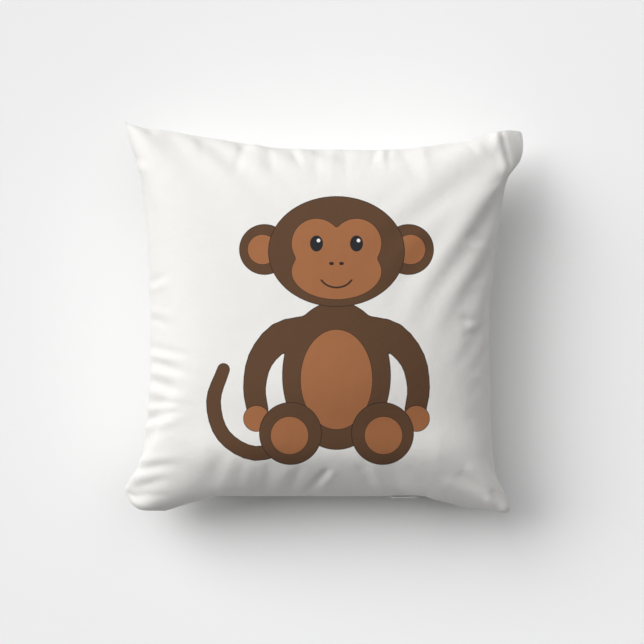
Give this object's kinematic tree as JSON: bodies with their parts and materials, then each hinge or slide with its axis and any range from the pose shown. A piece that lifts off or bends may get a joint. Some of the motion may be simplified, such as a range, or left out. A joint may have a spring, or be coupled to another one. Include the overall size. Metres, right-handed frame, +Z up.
{
  "type": "throw cushion",
  "caption": "Square filled throw cushion lying flat: two-panel white cloth cover with a cartoon monkey printed on its face, concealed zip in the bottom seam, loose fibre-filled insert.",
  "frame": {"origin": "centre of the bounding box, on the surface the cushion lies on", "axes": "+Z up out of the printed face, +Y towards the top of the print, +X towards the print's right-hand side, the longest extent"},
  "size_m": [0.3986, 0.391, 0.136],
  "materials": {
    "printed_cloth": "white plain-weave polyester, matte, with a cartoon printed on it",
    "plain_cloth": "white plain-weave polyester, matte",
    "sewing_thread": "white spun polyester thread",
    "zip_tape": "white knitted polyester tape",
    "zip_coil": "white nylon monofilament",
    "zip_metal": "plain crimped metal",
    "slider_enamel": "white enamelled zinc",
    "casing": "white non-woven casing",
    "fibre": "loose white polyester fibre"
  },
  "bodies": {
    "pillow": {"cover_front": "printed_cloth", "cover_back": "plain_cloth", "cover_seam_thread": "sewing_thread", "zip_tape_front": "zip_tape", "zip_tape_back": "zip_tape", "zip_coil_front": "zip_coil", "zip_coil_back": "zip_coil", "zip_top_stops": "zip_metal", "zip_bottom_stop": "zip_metal", "zip_stitching": "sewing_thread", "insert_front": "casing", "insert_back": "casing", "insert_seam_thread": "sewing_thread", "insert_filling": "fibre"},
    "slider": {"slider_body": "slider_enamel", "slider_bail": "slider_enamel"},
    "pull": {"pull_tab": "slider_enamel"}
  },
  "joints": [
    {"name": "slider_slide", "type": "slide", "parent": "pillow", "child": "slider", "axis": [1, 0, 0], "range_m": [-0.179, 0], "deforming": ["zip_coil_front", "zip_coil_back"]},
    {"name": "pull_hinge", "type": "hinge", "parent": "slider", "child": "pull", "pos_m": [0.091, -0.17985, 0.062], "axis": [0, 0, 1], "range_deg": [0, 170]}
  ]
}
